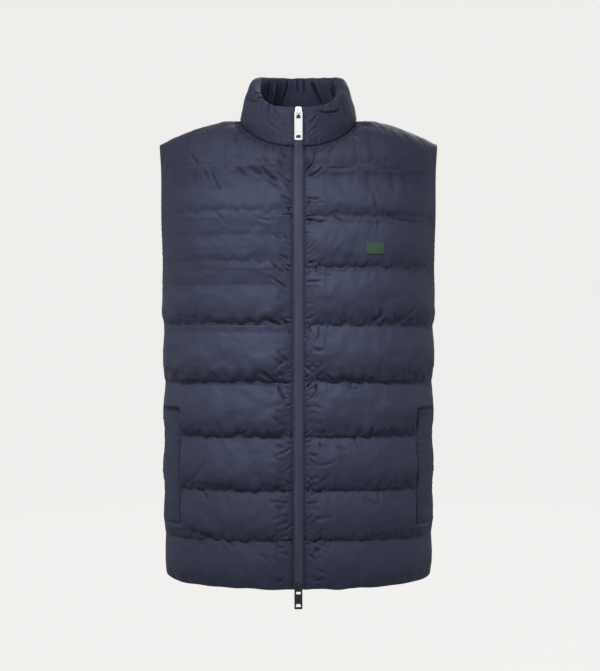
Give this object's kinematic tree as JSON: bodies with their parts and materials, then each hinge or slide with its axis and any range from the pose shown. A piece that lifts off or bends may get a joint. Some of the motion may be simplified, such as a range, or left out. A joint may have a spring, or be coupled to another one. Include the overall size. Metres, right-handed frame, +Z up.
{
  "type": "quilted vest",
  "caption": "Sleeveless padded vest with level quilted channels, a stand collar, a full-length two-way zip and pocket welts, filled out as worn.",
  "frame": {"origin": "midway between the two points where the shoulder seams meet the collar, inside the neck opening, where the wearer's shoulders carry the garment", "axes": "+Z up towards the head, -Y out of the front, +X towards the wearer's own left side"},
  "size_m": [0.4144, 0.2597, 0.7835],
  "materials": {
    "shell_cloth": "matt",
    "zip_tape": "satin",
    "patch_cloth": "matt",
    "bright_metal": "polished",
    "dark_metal": "polished"
  },
  "bodies": {
    "vest": {"front_left": "shell_cloth", "front_right": "shell_cloth", "back": "shell_cloth", "collar": "shell_cloth", "zip_tape_left": "zip_tape", "zip_tape_right": "zip_tape", "pocket_welt_left": "shell_cloth", "pocket_welt_right": "shell_cloth", "chest_patch": "patch_cloth", "slider_top": "bright_metal", "slider_bottom": "dark_metal"},
    "zip_pull_top": {"pull_top": "bright_metal"},
    "zip_pull_bottom": {"pull_bottom": "dark_metal"}
  },
  "joints": [
    {"name": "top_pull_swing", "type": "hinge", "parent": "vest", "child": "zip_pull_top", "pos_m": [0, -0.07676, 0.00181], "axis": [-1, 0, 0], "range_deg": [0, 165]},
    {"name": "bottom_pull_swing", "type": "hinge", "parent": "vest", "child": "zip_pull_bottom", "pos_m": [0, -0.12223, -0.6785], "axis": [-1, 0, 0], "range_deg": [-2, 165]}
  ]
}
